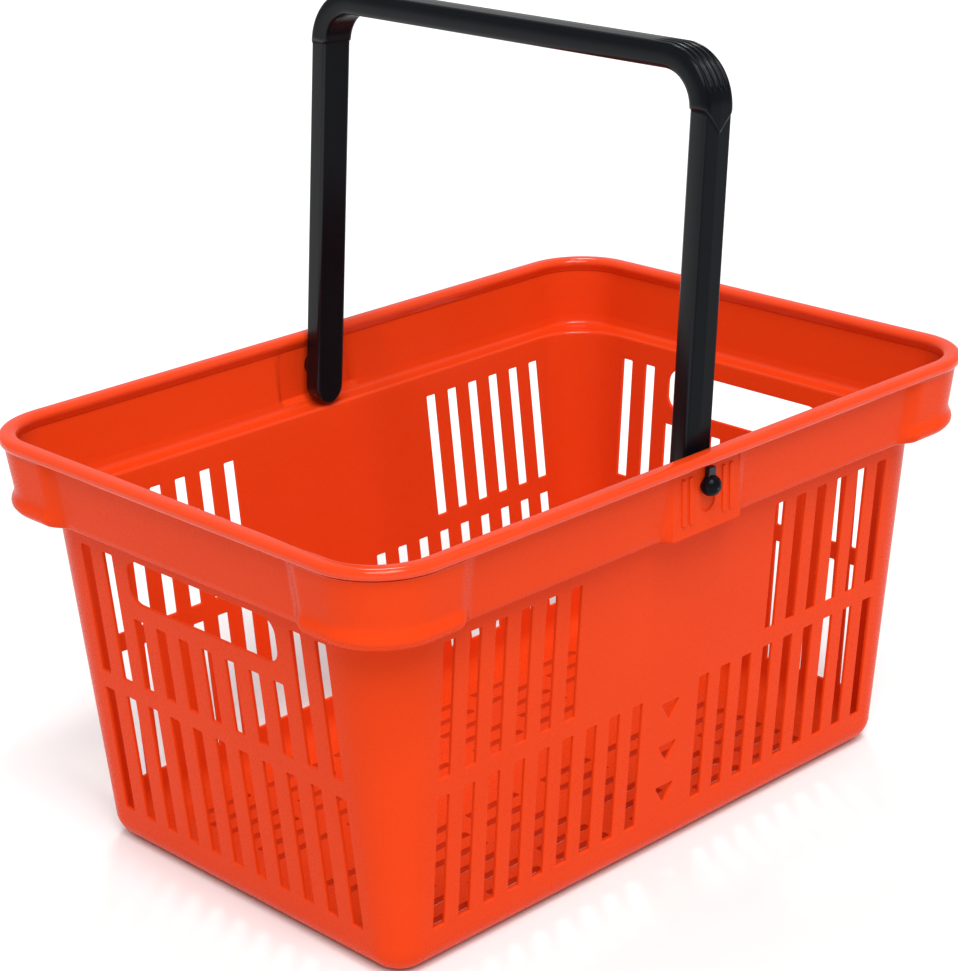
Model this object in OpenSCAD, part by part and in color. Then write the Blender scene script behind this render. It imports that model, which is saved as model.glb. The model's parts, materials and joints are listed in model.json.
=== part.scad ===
// Hand shopping basket: a slotted, drafted tub with a stepped-out collar, and one bail handle
// that swings on two snap pegs. +X runs along the basket, +Y across it, +Z up.
// The origin is on the ground, under the middle of the base.

/* [Tub] */
// Length over the rim
rim_len = 450; // [380:1:560]
// Width over the rim
rim_wid = 310; // [270:1:400]
// Height from the ground to the top of the rim
tub_h = 232; // [190:1:290]
// Thickness of the moulded walls
wall_t = 2.5; // [1.8:0.1:3.2]
// Thickness of the floor
floor_t = 2.5; // [2:0.1:3.5]
// Lean of the walls: outward travel for each millimetre of height
wall_slope = 0.094; // [0.06:0.002:0.12]
// Corner radius of the walls, taken down to the ground
base_r = 17; // [16:1:24]
// Outer radius of the round foot between the walls and the floor
foot_r = 15; // [8:1:15]

/* [Collar] */
// Height of the stepped-out collar, rim included
collar_h = 42; // [36:1:54]
// How far the collar's foot stands out from the wall below it
ledge_out = 10; // [8:0.5:14]
// How far the collar leans out from its foot to the rim bead
collar_lean = 5; // [3:0.5:7]
// Width of the rim bead
bead_w = 10; // [9:0.5:13]
// Height of the rim bead
bead_h = 6; // [4:0.5:7]
// How far the bead stands out from the collar below it
bead_out = 6; // [4.5:0.5:7]
// Corner radius of the rim
rim_r = 40; // [32:1:60]

/* [Corner guards] */
// How far a guard stands out from the collar
guard_t = 3.5; // [2:0.5:4]
// How far a guard runs along each side from the corner's arc
guard_run = 28; // [15:1:35]
// How far the flared lip stands out from the guard
lip_out = 3; // [1:0.5:3]
// Height of the flared lip
lip_h = 11; // [8:1:14]

/* [Slots] */
// Spacing of the slots along the long walls
long_pitch = 16.9; // [15:0.1:18]
// Spacing of the slots along the end walls
end_pitch = 18.1; // [16:0.1:19]
// Width of a slot
slot_w = 7.5; // [5:0.5:9]
// Plain band under the lower row
base_band = 23; // [16:0.5:28]
// Plain band between the two rows
mid_band = 10; // [6:0.5:16]
// Plain band above the upper row
top_band = 11.5; // [8:0.5:20]
// Least plain width between the last slot of a row and the wall's end
slot_edge = 3; // [2:0.5:6]
// Slots left out on each side of the middle in the upper row of a long wall
up_left_out = 3; // [1:1:4]
// Length of the slots in the floor, along the basket
floor_slot_l = 37.5; // [20:0.5:44]
// Width of those slots
floor_slot_w = 5; // [3:0.5:7]
// Plain bar between the ends of two floor slots
floor_bar = 12.8; // [6:0.2:20]
// Spacing of the rows of floor slots
floor_pitch = 13.5; // [10:0.5:18]
// Width of the plain band that crosses the middle of the floor
floor_mid_x = 20; // [10:1:40]
// Distance between the two middle rows of floor slots
floor_mid_y = 40; // [20:1:60]
// Width of the small triangular windows in the middle of a long wall
tri_w = 14; // [8:1:16]
// Height of those windows
tri_h = 11; // [8:1:16]

/* [Hand holes] */
// Width of the hand hole in each end wall
hand_w = 114; // [90:1:120]
// Height of the hand hole
hand_h = 24; // [20:1:30]
// Plain band between the hand hole and the collar
hand_top = 10; // [8:0.5:14]

/* [Handle] */
// Height of the pivot above the collar's foot
pivot_up = 24; // [22:1:26]
// Gap between the folded handle's sides and the collar
fold_gap = 0.7; // [0.5:0.1:1.5]
// Gap between the folded handle's end and the collar
end_gap = 1.5; // [1:0.1:5]
// How much rounder the handle's top corners are than the collar they fold into
corner_over = 1.5; // [1:0.5:8]
// Width of a leg, along the basket
leg_w = 19.5; // [14:0.5:22]
// Thickness of a leg, across the basket
leg_t = 11; // [6:0.5:12]
// Gap between a leg's round lower end and the ledge
tail_gap = 1.5; // [1:0.5:4]
// Extra thickness of the grip on every side of the leg's section
grip_over = 0.8; // [0.4:0.1:1.2]
// How far the grip runs down each leg, below the corner's arc
grip_down = 12; // [6:1:30]
// Lean of the handle from upright as it stands
lean = 5; // [0:1:8]

/* [Pivots] */
// Radius of a peg's neck
neck_r = 4; // [3:0.1:4.5]
// Radial clearance of the neck in its bore
neck_gap = 0.05; // [0.02:0.01:0.1]
// Radius of the spacer between a leg and the pivot plate
spacer_r = 7; // [6:0.5:8]
// Radius of a peg's round head
head_r = 5.5; // [5:0.1:5.8]
// Width of the key tab on a peg's head
tab_w = 5.5; // [4:0.5:6]
// Height of the key tab above the pivot
tab_up = 9.5; // [8:0.5:9.5]
// Thickness of the key tab
tab_t = 3; // [2:0.5:4]
// Half width of the upright plate that carries the bore
plate_half = 27; // [25:1:30]
// Thickness of that plate
plate_t = 3; // [2.5:0.1:3.2]
// How far the ribs beside the bore stand out from the plate
rib_out = 1.2; // [0.6:0.1:1.5]
// Width of a rib
rib_w = 2.5; // [1.5:0.5:3]
// Gap between the lead-in pocket and the nearer rib
rib_gap = 4.5; // [2:0.5:5]
// Spacing of the two ribs on one side
rib_pitch = 5.5; // [4:0.5:6]
// Depth of the lead-in pocket below the bore
pocket_t = 1; // [0.5:0.1:1.2]

/* [Hidden] */
$fn = 48;
EPS = 0.01;
play = 0.3;
ledge_z = tub_h - collar_h;
bead_z = tub_h - bead_h;
wall_run_out = ledge_z * wall_slope;
base_inset = wall_run_out + ledge_out + collar_lean + bead_out;
base_len = rim_len - 2 * base_inset;
base_wid = rim_wid - 2 * base_inset;
row_h = (ledge_z - base_band - mid_band - top_band) / 2;
low_z = base_band;
up_z = low_z + row_h + mid_band;
hand_z = ledge_z - hand_top - hand_h;
long_run = base_len / 2 - base_r;
end_run = base_wid / 2 - base_r;
// Where the flat floor ends, measured out from the line where the wall's outer face, taken down,
// would meet the ground
foot_x = (wall_slope - 1) * foot_r;
pivot_z = ledge_z + pivot_up;
// Distances inward from the rim's outermost edge
foot_in = bead_out + collar_lean;
plate_out_in = bead_out + 0.5;
function collar_in(z) = foot_in - collar_lean * (z - ledge_z) / (bead_z - ledge_z);
// The handle folds down inside the collar, clear of its inner face and of the rim bead
grip_t = leg_t + 2 * grip_over;
grip_w = leg_w + 2 * grip_over;
fold_in = max(collar_in(pivot_z - grip_w / 2) + wall_t, bead_w);
// Distances across the basket from its middle plane
plate_y = rim_wid / 2 - plate_out_in;
plate_back_y = plate_y - plate_t;
grip_out_y = rim_wid / 2 - fold_in - fold_gap;
leg_out_y = grip_out_y - grip_over;
// Distances up the handle from its pivot
leg_tail = pivot_up - wall_t - tail_gap;
bail_top = rim_len / 2 - fold_in - end_gap;
bail_r = rim_r - fold_in + corner_over;
bail_arc_v = bail_top - bail_r;
grip_end_v = bail_arc_v - grip_down;
head_y = plate_y + play + 2;
wall_depth = wall_run_out + 10;
red = [0.95, 0.26, 0.13];
black = [0.07, 0.08, 0.10];

// A rectangle with round corners, centred
module round_rect(len, wid, r) {
    square([len - 2 * r, wid], center = true);
    square([len, wid - 2 * r], center = true);
    for (sx = [-1, 1], sy = [-1, 1])
        translate([sx * (len / 2 - r), sy * (wid / 2 - r)]) circle(r);
}

// Section of a wall above the foot: x is the distance out from the base's edge, y is the height
module wall_section() {
    low = foot_r * wall_slope;
    polygon([[low, foot_r], [wall_run_out, ledge_z], [wall_run_out - wall_t, ledge_z],
        [low - wall_t, foot_r]]);
}

// Section of the foot, a quarter ring from the edge of the flat floor up to the wall
module foot_section() {
    inner_x = foot_x + floor_t - wall_t;
    difference() {
        intersection() {
            translate([foot_x, 0]) square(foot_r);
            translate([foot_x, foot_r]) circle(foot_r);
        }
        translate([inner_x, foot_r]) circle(foot_r - floor_t);
        translate([foot_x - 1, floor_t]) square([1 + max(floor_t - wall_t, EPS), foot_r]);
    }
}

// Section of the collar and its rim bead: x is the distance in from the rim's edge, y is the height
module collar_section() {
    polygon([[foot_in, ledge_z], [bead_out, bead_z], [0.8, bead_z], [0, bead_z + 1],
        [0, tub_h - 1.5], [1.5, tub_h], [bead_w - 1.5, tub_h], [bead_w, tub_h - 1.5],
        [bead_w, bead_z + 1], [bead_out + wall_t, bead_z], [foot_in + wall_t, ledge_z]]);
}

// Section of a corner guard with its flared lip, against the collar's outer face
module guard_section() {
    lip_z = ledge_z + lip_h;
    polygon([[collar_in(ledge_z), ledge_z], [collar_in(bead_z), bead_z],
        [collar_in(bead_z) - guard_t, bead_z], [collar_in(lip_z) - guard_t, lip_z],
        [collar_in(lip_z) - guard_t - 0.75 * lip_out, ledge_z + 0.7 * lip_h],
        [collar_in(ledge_z) - guard_t - lip_out, ledge_z + 0.4 * lip_h],
        [collar_in(ledge_z) - guard_t - 0.75 * lip_out, ledge_z + 0.12 * lip_h],
        [collar_in(ledge_z) - guard_t, ledge_z]]);
}

// Flat pattern of one row of slots, x across and y up
module slot_row(xs, z, h) {
    for (x = xs) translate([x - slot_w / 2, z]) square([slot_w, h]);
}

// Rows hold as many slots as their wall has room for; the long walls have none near the middle
function side_pairs(count, first) = [for (s = [-1, 1], k = [0:count - 1]) s * (first + k)];
first_slot = 1.5;
low_count = floor((long_run - slot_w / 2 - slot_edge) / long_pitch - first_slot) + 1;
long_low = [for (k = side_pairs(low_count, first_slot)) k * long_pitch];
long_up = [for (k = side_pairs(low_count - up_left_out, first_slot + up_left_out)) k * long_pitch];
end_mid = floor((end_run - slot_w / 2 - slot_edge) / end_pitch);
end_low = [for (k = [-end_mid:end_mid]) k * end_pitch];
end_full = [for (y = end_low) if (abs(y) > hand_w / 2 + slot_w / 2) y];
end_short = [for (y = end_low) if (abs(y) <= hand_w / 2 + slot_w / 2) y];

module long_wall_openings() {
    slot_row(long_low, low_z, row_h);
    slot_row(long_up, up_z, row_h);
    for (k = [0:2]) {
        translate([0, low_z + row_h * (0.08 + 0.34 * k)])
            polygon([[0, 0], [tri_w / 2, tri_h], [-tri_w / 2, tri_h]]);
    }
}

module end_wall_openings() {
    slot_row(end_low, low_z, row_h);
    slot_row(end_full, up_z, row_h);
    slot_row(end_short, up_z, hand_z - mid_band - up_z);
    translate([0, hand_z + hand_h / 2]) round_rect(hand_w, hand_h, 6);
}

module long_wall() {
    color(red) difference() {
        translate([-long_run, -base_wid / 2, 0]) rotate([90, 0, 90])
            linear_extrude(2 * long_run) mirror([1, 0]) wall_section();
        translate([0, -base_wid / 2 + 5, 0]) rotate([90, 0, 0]) linear_extrude(wall_depth)
            long_wall_openings();
    }
}

module long_foot() {
    color(red) translate([-long_run, -base_wid / 2, 0]) rotate([90, 0, 90])
        linear_extrude(2 * long_run) mirror([1, 0]) foot_section();
}

module end_foot() {
    color(red) translate([-base_len / 2, end_run, 0]) rotate([90, 0, 0])
        linear_extrude(2 * end_run) mirror([1, 0]) foot_section();
}

module end_wall() {
    color(red) difference() {
        translate([-base_len / 2, end_run, 0]) rotate([90, 0, 0])
            linear_extrude(2 * end_run) mirror([1, 0]) wall_section();
        translate([-base_len / 2 + 5, 0, 0]) rotate([90, 0, -90]) linear_extrude(wall_depth)
            end_wall_openings();
    }
}

module corner_post() {
    color(red) translate([long_run, end_run, 0]) rotate_extrude(angle = 90) translate([base_r, 0]) {
        wall_section();
        foot_section();
    }
}

// The flat floor, with rows of slots that leave a plain cross in the middle
module floor_grid() {
    step = floor_slot_l + floor_bar;
    flat_x = base_len / 2 + foot_x;
    flat_y = base_wid / 2 + foot_x;
    cols = floor((flat_x - floor_mid_x / 2) / step);
    rows = floor((flat_y - floor_mid_y / 2 - floor_slot_w) / floor_pitch);
    color(red) linear_extrude(floor_t) difference() {
        round_rect(2 * flat_x, 2 * flat_y, base_r + foot_x);
        for (sx = [-1, 1], sy = [-1, 1], i = [0:cols - 1], j = [0:rows])
            translate([sx * (floor_mid_x / 2 + floor_slot_l / 2 + i * step),
                sy * (floor_mid_y / 2 + j * floor_pitch)])
                square([floor_slot_l, floor_slot_w], center = true);
    }
}

// The ledge at the collar's foot, cut to one zone of the plan
module ledge() {
    translate([0, 0, ledge_z]) linear_extrude(wall_t) intersection() {
        difference() {
            round_rect(rim_len - 2 * foot_in - 2, rim_wid - 2 * foot_in - 2, rim_r - foot_in - 1);
            round_rect(base_len + 2 * (wall_run_out - wall_t), base_wid + 2 * (wall_run_out - wall_t),
                base_r + wall_run_out - wall_t);
        }
        children();
    }
}

arc_x = rim_len / 2 - rim_r;
arc_y = rim_wid / 2 - rim_r;

// The collar along the front, with the upright plate that carries one pivot bore
module long_collar() {
    color(red) difference() {
        union() {
            difference() {
                translate([-arc_x, -rim_wid / 2, 0]) rotate([90, 0, 90])
                    linear_extrude(2 * arc_x) collar_section();
                translate([-plate_half + plate_t, -plate_back_y, ledge_z - EPS])
                    cube([2 * (plate_half - plate_t), foot_in + 5, bead_z - ledge_z + EPS]);
            }
            ledge() translate([-arc_x, -rim_wid]) square([2 * arc_x, rim_wid]);
            translate([-plate_half, -plate_y, ledge_z]) cube([2 * plate_half, plate_t, bead_z - ledge_z]);
            for (s = [-1, 1]) pivot_cheek(s);
            pivot_ribs();
        }
        pivot_cuts();
    }
}

// Cheek between the upright plate and the leaning collar beside it
module pivot_cheek(s) {
    translate([s * (plate_half - plate_t / 2) - plate_t / 2, -rim_wid / 2, 0]) rotate([90, 0, 90])
        linear_extrude(plate_t) polygon([[plate_out_in, ledge_z], [plate_out_in, bead_z],
            [bead_out + wall_t, bead_z], [foot_in + wall_t, ledge_z]]);
}

module pivot_ribs() {
    for (s = [-1, 1], k = [0, 1])
        translate([s * (head_r + play + rib_gap + rib_w / 2 + k * rib_pitch) - rib_w / 2,
            -plate_y - rib_out, ledge_z + 6])
            cube([rib_w, rib_out + EPS, bead_z - ledge_z - 11]);
}

// Bore for the neck, keyway for the tab above it, and the shallow lead-in pocket below it
module pivot_cuts() {
    key_top = bead_z - pivot_z - 1;
    pocket_drop = 8;
    translate([0, -plate_y, pivot_z]) rotate([90, 0, 0]) {
        translate([0, 0, -plate_t - 1]) cylinder(r = neck_r + neck_gap, h = plate_t + 3, $fn = 96);
        translate([-tab_w / 2 - play, 0, -plate_t - 1]) cube([tab_w + 2 * play, key_top, plate_t + 3]);
        translate([0, 0, -pocket_t]) linear_extrude(pocket_t + rib_out + 1) {
            translate([-head_r - play, -pocket_drop]) square([2 * (head_r + play), pocket_drop]);
            translate([0, -pocket_drop]) circle(head_r + play);
        }
    }
}

module end_collar() {
    color(red) {
        translate([-rim_len / 2, arc_y, 0]) rotate([90, 0, 0]) linear_extrude(2 * arc_y) collar_section();
        ledge() translate([-rim_len, -arc_y]) square([rim_len, 2 * arc_y]);
    }
}

module collar_corner() {
    color(red) {
        translate([arc_x, arc_y, 0]) rotate_extrude(angle = 90) translate([rim_r, 0])
            mirror([1, 0]) collar_section();
        ledge() translate([arc_x, arc_y]) square([rim_len, rim_wid]);
    }
}

module guard() {
    color(red) {
        translate([arc_x, arc_y, 0]) rotate_extrude(angle = 90) translate([rim_r, 0])
            mirror([1, 0]) guard_section();
        translate([arc_x - guard_run, rim_wid / 2, 0]) rotate([90, 0, 90]) linear_extrude(guard_run)
            mirror([1, 0]) guard_section();
        translate([rim_len / 2, arc_y, 0]) rotate([90, 0, 0]) linear_extrude(guard_run)
            mirror([1, 0]) guard_section();
    }
}

// Places what is drawn at the +X +Y corner at any of the four corners
module at_corner(sx, sy) {
    mirror([sx < 0 ? 1 : 0, 0, 0]) mirror([0, sy < 0 ? 1 : 0, 0]) children();
}

// Puts what is drawn around the pivot, with z up the handle, at its standing lean
module on_pivot() {
    translate([0, 0, pivot_z]) rotate([0, lean, 0]) children();
}

// One leg at the front side, with a round lower end
module handle_leg() {
    color(black) translate([0, -leg_out_y + leg_t, 0]) rotate([90, 0, 0]) linear_extrude(leg_t) {
        translate([-leg_w / 2, -leg_tail + leg_w / 2]) square([leg_w, grip_end_v + leg_tail - leg_w / 2]);
        translate([0, -leg_tail + leg_w / 2]) circle(leg_w / 2);
    }
}

// Top corner of the handle at the front side, and the grip's run down the leg
module handle_corner() {
    color(black) {
        translate([0, -(grip_out_y - bail_r), bail_arc_v]) rotate([0, 90, 0]) rotate([0, 0, 180])
            rotate_extrude(angle = 90) translate([bail_r - grip_t, -grip_w / 2]) square([grip_t, grip_w]);
        translate([-grip_w / 2, -grip_out_y, grip_end_v]) cube([grip_w, grip_t, grip_down]);
    }
}

module handle_grip() {
    color(black) translate([-grip_w / 2, -(grip_out_y - bail_r), bail_top - grip_t])
        cube([grip_w, 2 * (grip_out_y - bail_r), grip_t]);
}

// Snap peg at the front side: spacer, neck, head with a flat shoulder, and key tab
module pivot_peg() {
    color(black) rotate([90, 0, 0]) {
        translate([0, 0, leg_out_y]) cylinder(r = spacer_r, h = plate_back_y - play - leg_out_y, $fn = 96);
        translate([0, 0, leg_out_y]) cylinder(r = neck_r, h = head_y - leg_out_y, $fn = 96);
        intersection() {
            translate([0, 0, head_y]) sphere(head_r, $fn = 96);
            translate([-head_r, -head_r, plate_y + play]) cube(2 * head_r);
        }
        translate([-tab_w / 2, 0, plate_y + play]) cube([tab_w, tab_up, tab_t]);
    }
}

floor_grid();
long_foot();  // foot_front
mirror([0, 1, 0]) long_foot();  // foot_back
end_foot();  // foot_left
mirror([1, 0, 0]) end_foot();  // foot_right
long_wall();  // wall_front
mirror([0, 1, 0]) long_wall();  // wall_back
end_wall();  // wall_left
mirror([1, 0, 0]) end_wall();  // wall_right
at_corner(-1, -1) corner_post();  // post_front_left
at_corner(1, -1) corner_post();  // post_front_right
at_corner(-1, 1) corner_post();  // post_back_left
at_corner(1, 1) corner_post();  // post_back_right
long_collar();  // collar_front
mirror([0, 1, 0]) long_collar();  // collar_back
end_collar();  // collar_left
mirror([1, 0, 0]) end_collar();  // collar_right
at_corner(-1, -1) collar_corner();  // collar_corner_front_left
at_corner(1, -1) collar_corner();  // collar_corner_front_right
at_corner(-1, 1) collar_corner();  // collar_corner_back_left
at_corner(1, 1) collar_corner();  // collar_corner_back_right
at_corner(-1, -1) guard();  // guard_front_left
at_corner(1, -1) guard();  // guard_front_right
at_corner(-1, 1) guard();  // guard_back_left
at_corner(1, 1) guard();  // guard_back_right
on_pivot() handle_leg();  // handle_leg_front
mirror([0, 1, 0]) on_pivot() handle_leg();  // handle_leg_back
on_pivot() handle_corner();  // handle_corner_front
mirror([0, 1, 0]) on_pivot() handle_corner();  // handle_corner_back
on_pivot() handle_grip();
on_pivot() pivot_peg();  // pivot_peg_front
mirror([0, 1, 0]) on_pivot() pivot_peg();  // pivot_peg_back
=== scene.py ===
import json
import math

import bmesh
import bpy
from mathutils import Matrix, Vector
from mathutils.geometry import delaunay_2d_cdt


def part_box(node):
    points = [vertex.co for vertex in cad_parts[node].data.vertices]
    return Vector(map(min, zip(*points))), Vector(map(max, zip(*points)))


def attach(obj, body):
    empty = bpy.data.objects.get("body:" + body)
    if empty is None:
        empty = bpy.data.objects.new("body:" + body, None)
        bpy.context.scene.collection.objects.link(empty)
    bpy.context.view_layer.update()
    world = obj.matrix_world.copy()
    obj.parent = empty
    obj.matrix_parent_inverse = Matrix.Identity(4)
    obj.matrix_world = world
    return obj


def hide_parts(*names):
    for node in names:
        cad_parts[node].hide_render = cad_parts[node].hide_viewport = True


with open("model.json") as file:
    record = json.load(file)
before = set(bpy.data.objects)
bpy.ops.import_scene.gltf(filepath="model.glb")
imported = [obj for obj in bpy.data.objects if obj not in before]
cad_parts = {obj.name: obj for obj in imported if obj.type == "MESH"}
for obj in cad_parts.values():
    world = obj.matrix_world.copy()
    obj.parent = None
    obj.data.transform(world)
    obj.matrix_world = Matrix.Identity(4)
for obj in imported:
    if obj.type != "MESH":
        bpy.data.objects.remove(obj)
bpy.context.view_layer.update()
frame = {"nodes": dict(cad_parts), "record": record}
mm = 0.001


def low(node, axis):
    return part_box(node)[0][axis] / mm


def high(node, axis):
    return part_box(node)[1][axis] / mm


# Sizes are in millimetres. The outer ones come from the frame, the small ones are the moulder's.
tub = {
    "rimX": high("collar_right", 0),
    "rimY": -low("collar_corner_front_right", 1),
    "rimZ": high("collar_right", 2),
    "ledgeZ": low("collar_right", 2),
    "arcX": high("collar_front", 0),
    "arcY": high("collar_right", 1),
    "wallArcX": high("wall_front", 0),
    "wallArcY": high("wall_right", 1),
    "floorTop": high("floor_grid", 2) + 1.3,  # thicker than the frame's, so less ground shows through it
    "wallThick": 2.0,
    "collarLean": 5,
    "beadOut": 6,
    "beadHigh": 6,
    "bendR": 3,
    "heelR": 2.5,
    "ledgeR": 2,
    "footR": high("foot_front", 2),
    "panelLow": 1.5,
    "panelHigh": 6,
    "guardThick": 3.5,
    "guardLip": 3,
    "guardLipHigh": 4.6,
    "guardLipFade": 7.5,
    "guardRampFrom": 16,
    "guardRampTo": 27.5,
    "plateIn": 6.5,
    "plateHalf": 24,
    "plateRamp": 5,
    "plateLow": 5.5,
    "plateHigh": 34.5,
    "cornerSteps": 18,
}
tub["slope"] = (low("foot_front", 1) - low("wall_front", 1)) / (tub["ledgeZ"] - tub["footR"])
tub["baseR"] = -low("foot_left", 0) - tub["slope"] * tub["footR"] - tub["wallArcX"]
tub["footOut"] = (tub["slope"] - 1) * tub["footR"]
tub["rimR"] = tub["rimX"] - tub["arcX"]

slots = {
    "longPitch": 16.9,
    "endPitch": 18.1,
    "wide": 7.5,
    "round": 0.7,
    "lowBand": 23,
    "midBand": 10,
    "topBand": 11.5,
    "edge": 0.5,
    "triWide": 14,
    "triTall": 11,
    "handWide": 114,
    "handTall": 24,
    "handBand": 10,
    "handRound": 8,
}
slots["tall"] = (tub["ledgeZ"] - slots["lowBand"] - slots["midBand"] - slots["topBand"]) / 2
slots["upFrom"] = slots["lowBand"] + slots["tall"] + slots["midBand"]
slots["handFrom"] = tub["ledgeZ"] - slots["handBand"] - slots["handTall"]

floorSlots = {
    "long": 37.5,
    "wide": 4.6,  # a little under the frame's 5, so that less floor shows between the bars
    "bar": 12.8,
    "pitch": 13.5,
    "midX": 20,
    "midY": 40,
    "columns": 3,
    "rows": 6,
    "round": 0.8,
}


def newShell():
    return {"verts": [], "faces": []}


def addPoint(shell, point):
    shell["verts"].append(point)
    return len(shell["verts"]) - 1


def arc(cx, cy, r, fromDeg, toDeg, steps):
    span = [math.radians(fromDeg + (toDeg - fromDeg) * k / steps) for k in range(steps + 1)]
    return [(cx + r * math.cos(a), cy + r * math.sin(a)) for a in span]


# Profile of the tub wall, walked up the outside, over the rim and down the inside.
# A row is (part, distance, height, role). On the wall, distance is measured out from the base's
# corner circle. On the collar it is measured in from the rim's edge.
def collarIn(z):
    bead = tub["rimZ"] - tub["beadHigh"]
    return tub["beadOut"] + tub["collarLean"] * (bead - z) / (bead - tub["ledgeZ"])


def tubRows():
    t, slope, thick = tub, tub["slope"], tub["wallThick"]
    rows = []
    foot = t["footR"]
    for out, z in arc(t["footOut"], foot, foot, -90, 0, 10):
        rows.append(("wall", out, z, "foot"))
    lowZ = foot + t["panelLow"]
    rows.append(("wall", slope * lowZ, lowZ, "outLow"))
    topZ = t["ledgeZ"] - t["panelHigh"]
    rows.append(("wall", slope * topZ, topZ, "outHigh"))
    bendR, heelR, ledgeR = t["bendR"], t["heelR"], t["ledgeR"]
    bend = slope * (t["ledgeZ"] - bendR)
    for out, z in arc(bend + bendR, t["ledgeZ"] - bendR, bendR, 180, 90, 4):
        rows.append(("wall", out, z, "under"))
    footIn = collarIn(t["ledgeZ"])
    for inward, z in arc(footIn + heelR, t["ledgeZ"] + heelR, heelR, -90, -180, 5):
        rows.append(("rim", inward, z, "lip" if z > t["ledgeZ"] + 0.1 else "under"))
    for z in (3.3, 4.2, t["plateLow"], 7, 8.5, 10, 12, 16, 25, t["plateHigh"]):
        rows.append(("rim", collarIn(t["ledgeZ"] + z), t["ledgeZ"] + z, "lip"))
    bead = t["rimZ"] - t["beadHigh"]
    # The rolled bead: out over the collar, round the top and back down inside
    for inward, z in ((6.1, -1.1), (5.7, -0.45), (4.9, -0.1), (3.4, 0.05), (1.6, 0.25), (0.55, 0.8),
                      (0.1, 1.8), (0, 3.0), (0.3, 4.3), (1.1, 5.3), (2.3, 5.85), (3.6, 6.0),
                      (6.2, 6.0), (7.6, 5.8), (8.9, 5.1), (9.7, 4.0), (9.9, 2.8), (9.6, 1.5),
                      (9.0, 0.3), (8.65, -1.2)):
        role = "lip" if z < -0.3 else "bead"
        rows.append(("rim", inward, bead + z, "inside" if inward > 8.6 and z < 0.2 else role))
    for z in (t["plateHigh"], 25, 16, 12, 8, 7):
        rows.append(("rim", collarIn(t["ledgeZ"] + z) + thick, t["ledgeZ"] + z, "inside"))
    ledgeTop = t["ledgeZ"] + thick
    for inward, z in arc(footIn + thick + 2.2, ledgeTop + heelR, heelR, 180, 270, 4):
        rows.append(("rim", inward, z, "ledge"))
    inner = slope * ledgeTop - thick
    for out, z in arc(inner + ledgeR, ledgeTop - ledgeR, ledgeR, 90, 180, 4):
        rows.append(("wall", out, z, "ledge"))
    rows.append(("wall", slope * topZ - thick, topZ, "inHigh"))
    rows.append(("wall", slope * lowZ - thick, lowZ, "inLow"))
    for out, z in arc(t["footOut"], foot, foot - thick, 0, -90, 9):
        rows.append(("wall", out, z, "floor"))
    return rows


# One place on the way round the tub: shares of the corner centres, facing angle, guard and plate.
def tubStations():
    def ramp(fromArc):
        start, end = tub["guardRampFrom"], tub["guardRampTo"]
        share = (end - fromArc) / (end - start)
        share = min(1, max(0, share))
        return share * share * (3 - 2 * share)

    inwards = [0, 15, 16, 17.5, 19.5, 21.75, 24, 26, 27.5, 28.5]

    def side(arcLength, plate):
        half = [(arcLength - w, ramp(w), 0) for w in inwards]
        if plate:
            p, r = tub["plateHalf"], tub["plateRamp"]
            half += [(p + r + 0.6, 0, 0), (p + r, 0, 0.03), (p + 0.75 * r, 0, 0.2), (p + 0.5 * r, 0, 0.5),
                     (p + 0.25 * r, 0, 0.8), (p + 1, 0, 0.97), (p, 0, 1)]
        return [(-u, g, q) for u, g, q in half] + [(u, g, q) for u, g, q in reversed(half)]

    stations = []
    for quarter in range(4):
        along = quarter % 2 == 0
        length = tub["arcX"] if along else tub["arcY"]
        facing = -90 + 90 * quarter
        sign = 1 if quarter in (0, 1) else -1
        for u, guard, plate in side(length, along):
            share = sign * u / length
            fx, fy = (share, -sign) if along else (sign, share)
            stations.append((fx, fy, facing, guard, plate, quarter))
        for k in range(1, tub["cornerSteps"]):
            corner = {0: (1, -1), 1: (1, 1), 2: (-1, 1), 3: (-1, -1)}[quarter]
            stations.append((corner[0], corner[1], facing + 90 * k / tub["cornerSteps"], 1, 0, -1))
    return stations


def lipShape(z):
    peak = tub["guardLipHigh"]
    rise = z - tub["ledgeZ"]
    if rise < peak:
        return tub["guardLip"] * (0.45 + 0.55 * math.sin(0.5 * math.pi * max(0, rise) / peak))
    fall = min(1, (rise - peak) / tub["guardLipFade"])
    return tub["guardLip"] * (0.5 + 0.5 * math.cos(math.pi * fall))


def tubPoint(row, station):
    part, distance, z, role = row
    fx, fy, facing, guard, plate, _ = station
    a = math.radians(facing)
    if part == "wall":
        cx, cy, r = tub["wallArcX"], tub["wallArcY"], tub["baseR"] + distance
    else:
        inward = distance
        if role == "lip":
            inward = inward * (1 - plate) + min(inward, tub["plateIn"]) * plate
            inward -= guard * (tub["guardThick"] + lipShape(z))
        if role == "inside":
            flat = tub["plateIn"] + tub["wallThick"]
            inward = inward * (1 - plate) + min(inward, flat) * plate
        cx, cy, r = tub["arcX"], tub["arcY"], tub["rimR"] - inward
    return (fx * cx + r * math.cos(a), fy * cy + r * math.sin(a), z)


# A hole is a convex outline with round corners: corner circle centres, their radius and arc steps.
def boxHole(u, w, wide, tall, r, steps=4):
    signs = ((1, 1), (-1, 1), (-1, -1), (1, -1))
    corners = [(u + sx * (wide / 2 - r), w + sy * (tall / 2 - r)) for sx, sy in signs]
    turns = [(0, 90), (90, 180), (180, 270), (270, 360)]
    return {"corners": corners, "turns": turns, "r": r, "steps": steps}


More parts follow.
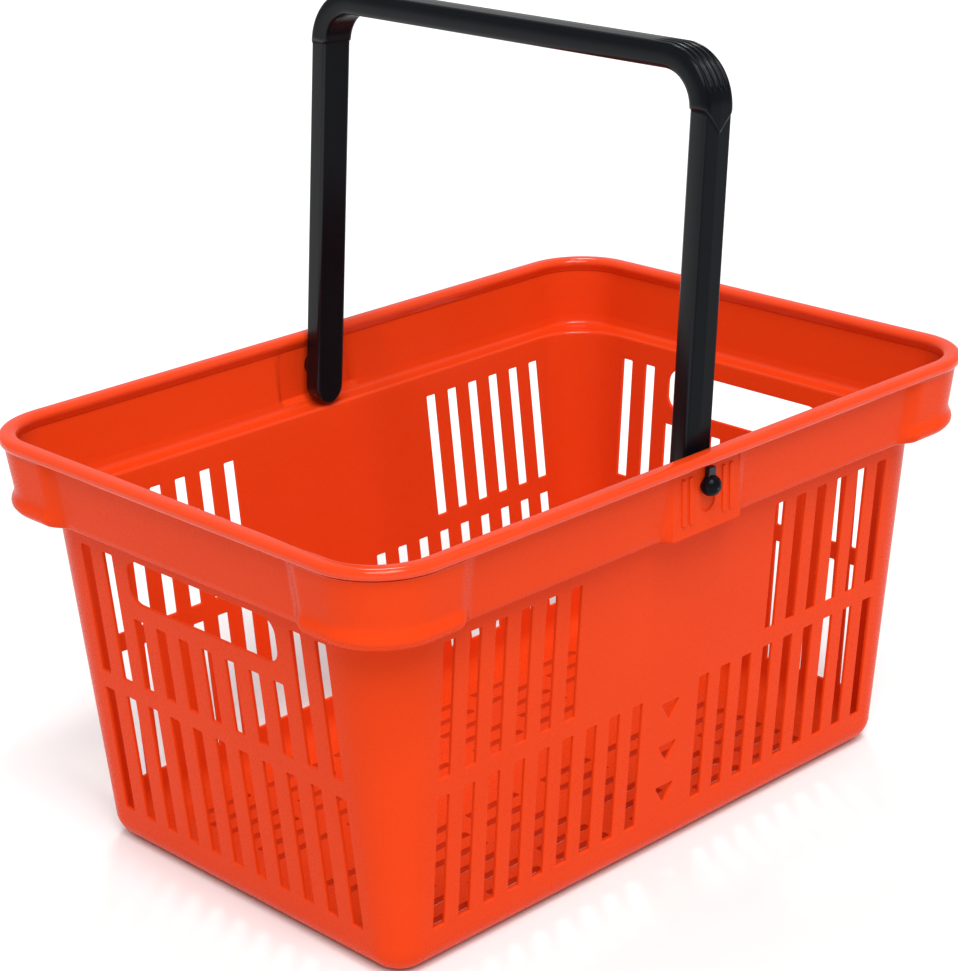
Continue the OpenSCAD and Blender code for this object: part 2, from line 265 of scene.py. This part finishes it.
def wedgeHole(u, w, wide, tall, r, steps=4):
    lean = math.degrees(math.atan2(tall, wide / 2))
    side = r / math.tan(math.radians(lean / 2))
    tip = r / math.cos(math.radians(lean))
    corners = [(u + wide / 2 - side, w + tall - r), (u - wide / 2 + side, w + tall - r), (u, w + tip)]
    turns = [(lean - 90, 90), (90, 270 - lean), (270 - lean, 270 + lean)]
    return {"corners": corners, "turns": turns, "r": r, "steps": steps}


def holeRing(hole, grow):
    ring = []
    for (cx, cy), (start, end) in zip(hole["corners"], hole["turns"]):
        ring += arc(cx, cy, hole["r"] + grow, start, end, hole["steps"])
    return ring


# Fills one face of a panel between its outline and its holes, and returns the ring vertex lists.
def fillSheet(shell, outline, rings, place):
    points, edges, owner = [], [], []
    for number, ring in enumerate([outline] + rings):
        start = len(points)
        points += [Vector(p) for p in ring]
        owner += [number] * len(ring)
        edges += [(start + k, start + (k + 1) % len(ring)) for k in range(len(ring))]
    _, _, tris, sources, _, _ = delaunay_2d_cdt(points, edges, [], 0, 1e-5)
    source = [s[0] if s else None for s in sources]
    base = len(shell["verts"])
    for p in points:
        shell["verts"].append(place(p[0], p[1]))
    for tri in tris:
        ids = [source[v] for v in tri]
        if None in ids:
            continue
        owners = {owner[i] for i in ids}
        if len(owners) == 1 and owners != {0}:
            continue
        shell["faces"].append([base + i for i in ids])
    lists, start = [], base
    for ring in [outline] + rings:
        lists.append(list(range(start, start + len(ring))))
        start += len(ring)
    return lists


def joinRings(shell, a, b):
    for k in range(len(a)):
        n = (k + 1) % len(a)
        shell["faces"].append([a[k], a[n], b[n], b[k]])


# A panel with filleted holes. place(u, w, depth) gives the point, with depth from the outer face.
def holedPanel(shell, place, outline, innerOutline, holes, thick, blind=()):
    e = slots["edge"]
    rings = [holeRing(h, e) for h in holes]
    blindRings = [holeRing(h, 0.4) for h, _ in blind]
    outer = fillSheet(shell, outline, rings + blindRings, lambda u, w: place(u, w, 0))
    inner = fillSheet(shell, innerOutline, rings, lambda u, w: place(u, w, thick))
    turn = [math.radians(a) for a in (30, 60, 90)]
    for number, hole in enumerate(holes):
        last = outer[1 + number]
        levels = [(e - e * math.sin(a), e - e * math.cos(a)) for a in turn]
        levels += [(g, thick - d) for g, d in reversed(levels)]
        for grow, depth in levels:
            ring = [addPoint(shell, place(u, w, depth)) for u, w in holeRing(hole, grow)]
            joinRings(shell, last, ring)
            last = ring
        joinRings(shell, last, inner[1 + number])
    for number, (hole, depth) in enumerate(blind):
        last = outer[1 + len(holes) + number]
        for grow, d in ((0.12, 0.12), (0, 0.4), (0, depth - 0.3), (-0.1, depth - 0.08), (-0.4, depth)):
            ring = [addPoint(shell, place(u, w, d)) for u, w in holeRing(hole, grow)]
            joinRings(shell, last, ring)
            last = ring
        shell["faces"].append(last)


def rowOf(role, rows):
    return [r[3] for r in rows].index(role)


def sweepTub(shell, rows, stations):
    count = len(stations)
    grid = [[addPoint(shell, tubPoint(row, s)) for s in stations] for row in rows]
    outLow, inHigh = rowOf("outLow", rows), rowOf("inHigh", rows)
    plateRows = plateSpans(rows)
    for j in range(len(rows) - 1):
        for i in range(count):
            a, b = stations[i], stations[(i + 1) % count]
            straight = a[5] == b[5] and a[5] >= 0
            if straight and (j == outLow or j == inHigh):
                continue
            if straight and a[4] == 1 and b[4] == 1 and any(lo <= j < hi for lo, hi in plateRows):
                continue
            n = (i + 1) % count
            shell["faces"].append([grid[j][i], grid[j][n], grid[j + 1][n], grid[j + 1][i]])


# Row spans of the collar's outer and inner face that the pivot plates cover
def plateSpans(rows):
    fromZ, toZ = tub["ledgeZ"] + tub["plateLow"] - 0.01, tub["ledgeZ"] + tub["plateHigh"] + 0.01
    outer = [k for k, r in enumerate(rows) if r[3] == "lip" and fromZ <= r[2] <= toZ]
    inner = [k for k, r in enumerate(rows) if r[3] == "inside" and fromZ <= r[2] <= toZ]
    return [(outer[0], outer[-1]), (inner[0], inner[-1])]


def longHoles():
    s = slots
    lowMid, upMid = s["lowBand"] + s["tall"] / 2, s["upFrom"] + s["tall"] / 2
    holes = []
    for sign in (-1, 1):
        for k in range(9):
            x = sign * (1.5 + k) * s["longPitch"]
            holes.append(boxHole(x, lowMid, s["wide"], s["tall"], s["round"]))
        for k in range(6):
            x = sign * (4.5 + k) * s["longPitch"]
            holes.append(boxHole(x, upMid, s["wide"], s["tall"], s["round"]))
    for k in range(3):
        z = s["lowBand"] + s["tall"] * (0.08 + 0.34 * k)
        holes.append(wedgeHole(0, z, s["triWide"], s["triTall"], 0.6))
    return holes


def endHoles():
    s = slots
    lowMid = s["lowBand"] + s["tall"] / 2
    shortTall = s["handFrom"] - s["midBand"] - s["upFrom"]
    holes = []
    for k in range(-5, 6):
        y = k * s["endPitch"]
        holes.append(boxHole(y, lowMid, s["wide"], s["tall"], s["round"]))
        tall = s["tall"] if abs(k) > 3 else shortTall
        holes.append(boxHole(y, s["upFrom"] + tall / 2, s["wide"], tall, s["round"]))
    handMid = s["handFrom"] + s["handTall"] / 2
    holes.append(boxHole(0, handMid, s["handWide"], s["handTall"], s["handRound"], 8))
    return holes


def floorHoles():
    f = floorSlots
    holes = []
    for sx, sy in ((1, 1), (-1, 1), (-1, -1), (1, -1)):
        for i in range(f["columns"]):
            x = sx * (f["midX"] / 2 + f["long"] / 2 + i * (f["long"] + f["bar"]))
            for j in range(f["rows"]):
                y = sy * (f["midY"] / 2 + j * f["pitch"])
                holes.append(boxHole(x, y, f["long"], f["wide"], f["round"], 2))
    return holes


def wallPanels(shell, rows, stations):
    lowZ, highZ = rows[rowOf("outLow", rows)][2], rows[rowOf("outHigh", rows)][2]
    long, ends = longHoles(), endHoles()
    for quarter in range(4):
        own = [s for s in stations if s[5] == quarter]
        along = quarter % 2 == 0
        sign = 1 if quarter in (0, 1) else -1
        centre = tub["wallArcY"] if along else tub["wallArcX"]
        arcHalf = tub["wallArcX"] if along else tub["wallArcY"]
        us = [sign * (s[0] if along else s[1]) * arcHalf for s in own]

        def place(u, z, depth, along=along, sign=sign, centre=centre):
            out = centre + tub["baseR"] + tub["slope"] * z - depth
            return (sign * u, -sign * out, z) if along else (sign * out, sign * u, z)

        outline = [(u, lowZ) for u in us] + [(u, highZ) for u in reversed(us)]
        holedPanel(shell, place, outline, outline, long if along else ends, tub["wallThick"])


def floorPanel(shell, rows, stations):
    top = [tubPoint(rows[-1], s)[:2] for s in stations]
    bottom = [tubPoint(rows[0], s)[:2] for s in stations]
    thick = tub["floorTop"]
    holedPanel(shell, lambda u, v, depth: (u, v, thick - depth), top, bottom, floorHoles(), thick)


pivot = {
    "z": frame["record"]["behaviour"]["joints"][0]["pos_m"][2] / mm,
    "pocketWide": 11.6,
    "pocketDeep": 1.0,
    "pocketLow": 14.2,
    "pocketHigh": 3.6,
    "keyWide": 6.1,
    "keyLow": 4.4,
    "keyHigh": 9.9,
    "ribs": (-17.5, -12.2, 12.2, 17.5),
    "ribWide": 2.6,
    "ribOut": 1.1,
    "ribLow": 6.5,
    "ribHigh": 31,
}


def pivotPanels(shell, rows):
    (outA, outB), (inA, inB) = plateSpans(rows)
    p, half = pivot, tub["plateHalf"]
    outZ = [rows[k][2] for k in range(outA, outB + 1)]
    inZ = [rows[k][2] for k in range(inB, inA - 1, -1)]
    z = p["z"]
    key = boxHole(0, z + (p["keyLow"] + p["keyHigh"]) / 2, p["keyWide"], p["keyHigh"] - p["keyLow"], 0.9)
    pocket = boxHole(0, z + (p["pocketHigh"] - p["pocketLow"]) / 2, p["pocketWide"],
                     p["pocketHigh"] + p["pocketLow"], p["pocketWide"] / 2 - 0.05, 8)
    for side in (-1, 1):
        def place(u, w, depth, side=side):
            return (u, side * (tub["rimY"] - tub["plateIn"] - depth), w)

        def frameOf(zs):
            return [(-half, w) for w in zs] + [(half, w) for w in reversed(zs)]

        holedPanel(shell, place, frameOf(outZ), frameOf(inZ), [key], tub["wallThick"],
                   [(pocket, p["pocketDeep"])])
        for x in p["ribs"]:
            plateRib(shell, place, x)


def plateRib(shell, place, x):
    p = pivot
    wide, lowZ, highZ = p["ribWide"], tub["ledgeZ"] + p["ribLow"], tub["ledgeZ"] + p["ribHigh"]
    rib = boxHole(x, (lowZ + highZ) / 2, wide, highZ - lowZ, 0.9, 4)
    last = None
    out = p["ribOut"]
    for grow, proud in ((0.25, -0.2), (0.1, 0.05), (0, 0.3), (0, out - 0.5), (-0.12, out - 0.2),
                        (-0.45, out)):
        ring = [addPoint(shell, place(u, w, -proud)) for u, w in holeRing(rib, grow)]
        if last:
            joinRings(shell, last, ring)
        else:
            shell["faces"].append(list(reversed(ring)))
        last = ring
    shell["faces"].append(last)


def shellObject(shell, name, body, material, nodes, sharp=42):
    mesh = bpy.data.meshes.new(name)
    mesh.from_pydata([[c * mm for c in v] for v in shell["verts"]], [], shell["faces"])
    bm = bmesh.new()
    bm.from_mesh(mesh)
    bmesh.ops.remove_doubles(bm, verts=bm.verts, dist=0.004 * mm)
    bmesh.ops.dissolve_degenerate(bm, edges=bm.edges, dist=0.0005 * mm)
    loose = [v for v in bm.verts if not v.link_faces]
    bmesh.ops.delete(bm, geom=loose, context="VERTS")
    bmesh.ops.recalc_face_normals(bm, faces=bm.faces)
    openEdges = sum(1 for e in bm.edges if len(e.link_faces) != 2)
    bm.to_mesh(mesh)
    bm.free()
    mesh.shade_smooth()
    mesh.set_sharp_from_angle(angle=math.radians(sharp))
    mesh.materials.append(material)
    obj = bpy.data.objects.new(name, mesh)
    bpy.context.collection.objects.link(obj)
    weigh = obj.modifiers.new("weigh", "WEIGHTED_NORMAL")
    weigh.keep_sharp = True
    weigh.weight = 100
    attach(obj, body)
    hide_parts(*nodes)
    print(name, len(mesh.vertices), "vertices,", openEdges, "open edges")
    return obj


def hexColour(code):
    parts = [int(code[k:k + 2], 16) / 255 for k in (1, 3, 5)]
    return [c / 12.92 if c <= 0.04045 else ((c + 0.055) / 1.055) ** 2.4 for c in parts] + [1]


# Adds a node, sets its attributes, and fills its inputs with links or constants.
def addNode(tree, kind, inputs=None, **settings):
    node = tree.nodes.new(kind)
    for key, value in settings.items():
        setattr(node, key, value)
    for key, value in (inputs or {}).items():
        if isinstance(value, bpy.types.NodeSocket):
            tree.links.new(value, node.inputs[key])
        else:
            node.inputs[key].default_value = value
    return node


# Injection-moulded polypropylene: a satin skin with broad soft highlights, faint flow clouding
# and a little light carried through the thin walls. The mould's real grain is about 0.2 mm,
# too fine to show, so it is drawn as coarse as it needs to show, at 0.9 mm.
redPolypropylene = {
    "colour": "#DA3F14",
    "cloud": "#D43A10",
    "cloudMm": 60,
    "grainMm": 0.9,
    "grainMmDeep": 0.012,
    "roughLow": 0.24,
    "roughHigh": 0.33,
    "ior": 1.49,
    "gloss": 0.05,
    "edgeGloss": 0.28,
    "edgeRough": 0.13,
    "rubbed": {"ledge": tub["ledgeZ"] + 2, "reach": 2.5, "facing": 0.25, "rim": tub["rimZ"] - 6.6},
    "through": 0.06,
}


# Injection-moulded polypropylene with carbon black: near black, cooler in its highlights.
# Its grain is also about 0.2 mm in truth, and drawn at 0.8 mm so that it shows.
blackPolypropylene = {
    "colour": "#07090C",
    "cloud": "#0B0E13",
    "cloudMm": 25,
    "grainMm": 0.8,
    "grainMmDeep": 0.010,
    "roughLow": 0.20,
    "roughHigh": 0.27,
    "ior": 1.49,
    "gloss": 0.06,
    "edgeGloss": 0.5,
    "edgeRough": 0.16,
    "rubbed": None,
    "bentFrom": 0.52,
    "bentTo": 0.56,
    "through": 0.0,
}


def polypropylene(name, look):
    material = bpy.data.materials.new(name)
    material.use_nodes = True
    tree = material.node_tree
    shader = tree.nodes["Principled BSDF"]
    where = addNode(tree, "ShaderNodeTexCoord").outputs["Object"]
    cloud = addNode(tree, "ShaderNodeTexNoise", {
        "Vector": where, "Scale": 1 / (look["cloudMm"] * mm), "Detail": 3})
    grain = addNode(tree, "ShaderNodeTexNoise", {
        "Vector": where, "Scale": 1 / (look["grainMm"] * mm), "Detail": 2})
    tint = addNode(tree, "ShaderNodeMix", {
        0: cloud.outputs[0], 6: hexColour(look["colour"]), 7: hexColour(look["cloud"])}, data_type="RGBA")
    rough = addNode(tree, "ShaderNodeMapRange", {
        "Value": grain.outputs[0], "From Min": 0.3, "From Max": 0.7,
        "To Min": look["roughLow"], "To Max": look["roughHigh"]})
    # What hands and other baskets rub is smoother, so it shines more than the satin flats: the ledge
    # and the rim on the tub, the bent edges on the handle.
    rubbed = look["rubbed"]
    if rubbed:
        height = addNode(tree, "ShaderNodeSeparateXYZ", {"Vector": where}).outputs["Z"]
        off = addNode(tree, "ShaderNodeMath", {0: height, 1: rubbed["ledge"] * mm}, operation="SUBTRACT")
        near = addNode(tree, "ShaderNodeMath", {0: off.outputs[0]}, operation="ABSOLUTE")
        level = addNode(tree, "ShaderNodeMath", {
            0: near.outputs[0], 1: rubbed["reach"] * mm}, operation="LESS_THAN")
        normal = addNode(tree, "ShaderNodeNewGeometry").outputs["Normal"]
        facing = addNode(tree, "ShaderNodeSeparateXYZ", {"Vector": normal}).outputs["Z"]
        upward = addNode(tree, "ShaderNodeMath", {0: facing, 1: rubbed["facing"]}, operation="GREATER_THAN")
        ledge = addNode(tree, "ShaderNodeMath", {
            0: level.outputs[0], 1: upward.outputs[0]}, operation="MULTIPLY")
        rim = addNode(tree, "ShaderNodeMath", {0: height, 1: rubbed["rim"] * mm}, operation="GREATER_THAN")
        edge = addNode(tree, "ShaderNodeMath", {
            0: ledge.outputs[0], 1: rim.outputs[0]}, operation="MAXIMUM")
    else:
        bent = addNode(tree, "ShaderNodeNewGeometry").outputs["Pointiness"]
        edge = addNode(tree, "ShaderNodeMapRange", {
            "Value": bent, "From Min": look["bentFrom"], "From Max": look["bentTo"]})
    gloss = addNode(tree, "ShaderNodeMapRange", {
        "Value": edge.outputs[0], "To Min": look["gloss"], "To Max": look["edgeGloss"]})
    sheen = addNode(tree, "ShaderNodeMix", {0: edge.outputs[0], 2: rough.outputs[0], 3: look["edgeRough"]})
    bump = addNode(tree, "ShaderNodeBump", {
        "Height": grain.outputs[0], "Strength": 0.35, "Distance": look["grainMmDeep"] * mm})
    tree.links.new(tint.outputs[2], shader.inputs["Base Color"])
    tree.links.new(sheen.outputs[0], shader.inputs["Roughness"])
    tree.links.new(gloss.outputs[0], shader.inputs["Specular IOR Level"])
    tree.links.new(bump.outputs[0], shader.inputs["Normal"])
    shader.inputs["IOR"].default_value = look["ior"]
    shader.inputs["Subsurface Weight"].default_value = look["through"]
    shader.inputs["Subsurface Radius"].default_value = (2.0, 0.5, 0.2)  # red travels furthest
    shader.inputs["Subsurface Scale"].default_value = mm
    return material


redPlastic = polypropylene("redInjectionMouldedPolypropylene", redPolypropylene)
blackPlastic = polypropylene("blackInjectionMouldedPolypropylene", blackPolypropylene)
tubNodes = [n for n in frame["nodes"] if not n.startswith(("handle", "pivot"))]


def buildTub():
    shell = newShell()
    rows, stations = tubRows(), tubStations()
    sweepTub(shell, rows, stations)
    wallPanels(shell, rows, stations)
    floorPanel(shell, rows, stations)
    pivotPanels(shell, rows)
    return shellObject(shell, "tub_moulding", "tub", redPlastic, tubNodes)


buildTub()
print("tub built")

handle = {
    "outY": -low("handle_corner_front", 1),
    "legStep": 0.8,
    "legWide": 19.5,
    "legThick": high("handle_leg_front", 1) - low("handle_leg_front", 1),
    "gripOver": 0.8,
    "tail": 20,
    "lean": 5,
    "legRound": 1.8,
    "gripRound": 3.6,
    "ridge": 0.5,
    "veeLow": 171,
    "veeRise": 1.15,
    "veeSoft": 1.1,
    "veeSoftInside": 9,
    "flutes": 4,
    "fluteMm": 3.9,
    "fluteDeep": 1.15,
    "fluteBar": 12,
    "fluteTurn": 72,
    "fluteFade": 7,
}


leanRad = math.radians(handle["lean"])
halfGrip = handle["legWide"] / 2 + handle["gripOver"]
handle["top"] = (high("handle_grip", 2) - pivot["z"] - halfGrip * math.sin(leanRad)) / math.cos(leanRad)
handle["bend"] = handle["outY"] + high("handle_corner_front", 1)


# Where the handle's outer line runs: (y, height above the pivot, outward angle)
def handlePath():
    h = handle
    bendV = h["top"] - h["bend"]
    tailRound = h["legWide"] / 2
    path = []
    for deg in (0, 10, 20, 30, 40, 50, 60, 70, 80, 90):
        path.append((-h["outY"], -h["tail"] + tailRound * (1 - math.cos(math.radians(deg))), 180))
    for v in (0, 30, 60, 90, 120, 150, h["veeLow"] - 3):
        path.append((-h["outY"], v, 180))
    steps = 28
    for k in range(1, steps + 1):
        path.append((-h["outY"], h["veeLow"] - 3 + (bendV - h["veeLow"] + 3) * k / steps, 180))
    for k in range(1, 37):
        a = 180 - 90 * k / 36
        ray = math.radians(a)
        y = -h["outY"] + h["bend"] + h["bend"] * math.cos(ray)
        path.append((y, bendV + h["bend"] * math.sin(ray), a))
    flat = h["outY"] - h["bend"]
    for y in (3, 6, 9, 12, 16, 25, 45, 70, 95):
        path.append((-flat + y, h["top"], 90))
    path.append((0, h["top"], 90))
    back = [(-y, v, 180 - a) for y, v, a in reversed(path[:-1])]
    return path + back


def smooth(x):
    x = min(1, max(0, x))
    return x * x * (3 - 2 * x)


def gripShare(across, v, onInner, a):
    if 1 < a < 179:
        return 1
    start = handle["veeLow"] + handle["veeRise"] * (handle["legWide"] / 2 if onInner else abs(across))
    return smooth((v - start) / (handle["veeSoftInside"] if onInner else handle["veeSoft"]))


def fluteDepth(across, y, a):
    h = handle
    turned = a if a <= 90 else 180 - a
    # turned is 90 on the top bar and 0 on a leg
    if turned >= 89.9:
        flat = h["outY"] - h["bend"]
        fade = smooth(1 - (flat - abs(y)) / h["fluteBar"])
    else:
        fade = smooth((turned - (90 - h["fluteTurn"])) / h["fluteFade"])
    spread = h["fluteMm"] * h["flutes"] / 2
    if abs(across) >= spread or fade <= 0:
        return 0
    wave = 0.5 - 0.5 * math.cos(2 * math.pi * (across + spread) / h["fluteMm"])
    return h["fluteDeep"] * fade * wave


# One closed section of the handle: points (across the bar, in from the grip's outer face)
def handleSection(y, v, a, squeeze):
    h = handle
    section = []
    half = h["legWide"] / 2
    for t in [-1 + 2 * k / 40 for k in range(41)]:
        g = gripShare(t * half, v, False, a)
        wide = half + h["gripOver"] * g
        r = h["legRound"] + (h["gripRound"] - h["legRound"]) * g
        x = t * wide
        drop = h["legStep"] * (1 - g)
        edge = max(0, abs(x) - (wide - r))
        drop += r - math.sqrt(max(0, r * r - edge * edge))
        crown = h["ridge"] * abs(x) / wide
        section.append((x, drop + crown * (1 - 0.4 * g) + fluteDepth(x, y, a)))
    g = gripShare(half, v, True, a)
    wide = half + h["gripOver"] * g
    thickLow = h["legStep"] + h["legThick"] + h["gripOver"] * g
    r = h["legRound"] + (h["gripRound"] * 0.8 - h["legRound"]) * g
    for t in [1 - 2 * k / 24 for k in range(25)]:
        x = t * wide
        edge = max(0, abs(x) - (wide - r))
        section.append((x, thickLow - (r - math.sqrt(max(0, r * r - edge * edge)))))
    return [(x * squeeze, d) for x, d in section]


def toLean(x, y, v):
    c, s = math.cos(leanRad), math.sin(leanRad)
    return (x * c + v * s, y, pivot["z"] - x * s + v * c)


def buildHandle():
    h = handle
    shell = newShell()
    path = handlePath()
    grid = []
    for y, v, a in path:
        below = h["legWide"] / 2 - (v + h["tail"])
        squeeze = 1
        if below > 0:
            squeeze = max(0.04, math.sqrt(max(0, 1 - (below / (h["legWide"] / 2)) ** 2)))
        ray = math.radians(a)
        ring = []
        for x, d in handleSection(y, v, a, squeeze):
            ring.append(addPoint(shell, toLean(x, y - d * math.cos(ray), v - d * math.sin(ray))))
        grid.append(ring)
    for a, b in zip(grid, grid[1:]):
        joinRings(shell, a, b)
    shell["faces"].append(grid[0])
    shell["faces"].append(list(reversed(grid[-1])))
    names = ["handle_leg_front", "handle_leg_back", "handle_corner_front", "handle_corner_back",
             "handle_grip"]
    return shellObject(shell, "bail_handle", "handle", blackPlastic, names, 60)


buildHandle()
print("handle built")

peg = {
    "spacerR": 7,
    "neckR": 4,
    "headR": 5.5,
    "headOut": 2.3,
    "tabWide": 5.5,
    "tabTop": 9.5,
    "tabThick": 3,
    "play": 0.3,
}


def buildPeg(name, side, node):
    shell = newShell()
    legFace = handle["outY"] - handle["legStep"]
    plate = tub["rimY"] - tub["plateIn"]
    back = plate - tub["wallThick"]
    shoulder = plate + peg["play"]
    headY = plate + peg["headOut"]
    neck, head = peg["neckR"], peg["headR"]
    turnStart = math.degrees(math.asin((shoulder - headY) / head))
    profile = [(0.01, legFace - 1), (peg["spacerR"], legFace - 1), (peg["spacerR"], back - peg["play"] - 0.5),
               (peg["spacerR"] - 0.5, back - peg["play"]), (neck, back - peg["play"]), (neck, shoulder),
               (head * math.cos(math.radians(turnStart)) - 0.2, shoulder)]
    for k in range(0, 15):
        a = math.radians(turnStart + 4 + (90 - turnStart - 4) * k / 14)
        profile.append((max(0.01, head * math.cos(a)), headY + head * math.sin(a)))
    rings = []
    for r, y in profile:
        ring = []
        for k in range(40):
            a = 2 * math.pi * k / 40
            ring.append(addPoint(shell, toLean(r * math.cos(a), side * y, r * math.sin(a))))
        rings.append(ring)
    for a, b in zip(rings, rings[1:]):
        joinRings(shell, a, b)
    shell["faces"] += [rings[0], list(reversed(rings[-1]))]
    tab = boxHole(0, peg["tabTop"] / 2, peg["tabWide"], peg["tabTop"], 0.8)
    last = None
    for grow, y in ((-0.35, 0), (0, 0.35), (0, peg["tabThick"] - 0.7), (-0.2, peg["tabThick"] - 0.2),
                    (-0.7, peg["tabThick"])):
        ring = [addPoint(shell, toLean(u, side * (shoulder + y), w)) for u, w in holeRing(tab, grow)]
        if last:
            joinRings(shell, last, ring)
        else:
            shell["faces"].append(list(reversed(ring)))
        last = ring
    shell["faces"].append(last)
    return shellObject(shell, name, "handle", blackPlastic, [node], 40)


buildPeg("snap_peg_front", -1, "pivot_peg_front")
buildPeg("snap_peg_back", 1, "pivot_peg_back")
print("pegs built")

studio = {
    "floorWide": 14,
    "floorColour": "#E9E9E9",
    "floorMottle": "#E6E6E6",
    "floorRough": 0.7,
    "worldColour": "#FFFFFF",
    "worldStrength": 0.52,
    "azimuth": -43.641,
    "elevation": 20.531,
    "roll": -1.64,
    "distance": 1.45,
    "aim": (0.0269, 0.0415, 0.1582),
    "lens": 98.61,
    # Each sun: the way it shines, its strength, and its width in degrees, where wider is softer
    "suns": {
        "soft_key": ((0.42, 0.58, -1.0), 2.8, 40),
        "edge_light": ((0.12, 0.40, -1.0), 0.5, 8),
        "rim_light": ((-0.42, -0.46, -1.0), 0.7, 12),
    },
}


# Matt painted board: pale, no glare, a mottle too faint to name, so the plastic's colour leads.
def addFloor():
    bpy.ops.mesh.primitive_grid_add(x_subdivisions=4, y_subdivisions=4, size=studio["floorWide"])
    floor = bpy.context.object
    floor.name = "studio_floor"
    material = bpy.data.materials.new("paleMattBoard")
    material.use_nodes = True
    tree = material.node_tree
    shader = tree.nodes["Principled BSDF"]
    where = addNode(tree, "ShaderNodeTexCoord").outputs["Object"]
    mottle = addNode(tree, "ShaderNodeTexNoise", {"Vector": where, "Scale": 3, "Detail": 2})
    tint = addNode(tree, "ShaderNodeMix", {
        0: mottle.outputs[0], 6: hexColour(studio["floorColour"]),
        7: hexColour(studio["floorMottle"])}, data_type="RGBA")
    tree.links.new(tint.outputs[2], shader.inputs["Base Color"])
    shader.inputs["Roughness"].default_value = studio["floorRough"]
    floor.data.materials.append(material)


def addSun(name, towards, strength, width):
    data = bpy.data.lights.new(name, "SUN")
    data.energy = strength
    data.angle = math.radians(width)
    sun = bpy.data.objects.new(name, data)
    bpy.context.collection.objects.link(sun)
    sun.rotation_euler = Vector(towards).to_track_quat("-Z", "Y").to_euler()


def addCamera():
    a, e, r = (math.radians(studio[k]) for k in ("azimuth", "elevation", "roll"))
    back = Vector((math.sin(a) * math.cos(e), -math.cos(a) * math.cos(e), math.sin(e)))
    right = back.cross(Vector((0, 0, 1))) * -1
    right.normalize()
    up = back.cross(right)
    turned = right * math.cos(r) + up * math.sin(r)
    upTurned = up * math.cos(r) - right * math.sin(r)
    spin = Matrix((turned, upTurned, back)).transposed().to_4x4()
    data = bpy.data.cameras.new("studio_camera")
    data.sensor_fit = "HORIZONTAL"
    data.sensor_width = 36
    data.lens = studio["lens"]
    camera = bpy.data.objects.new("studio_camera", data)
    bpy.context.collection.objects.link(camera)
    camera.matrix_world = Matrix.Translation(Vector(studio["aim"]) + back * studio["distance"]) @ spin
    bpy.context.scene.camera = camera


def addLight():
    world = bpy.data.worlds.new("studio_world")
    world.use_nodes = True
    bpy.context.scene.world = world
    sky = world.node_tree.nodes["Background"]
    sky.inputs["Color"].default_value = hexColour(studio["worldColour"])
    sky.inputs["Strength"].default_value = studio["worldStrength"]
    for name, (towards, strength, width) in studio["suns"].items():
        addSun(name, towards, strength, width)
    bpy.context.scene.view_settings.view_transform = "Standard"


addFloor()
addLight()
addCamera()
print("studio built")
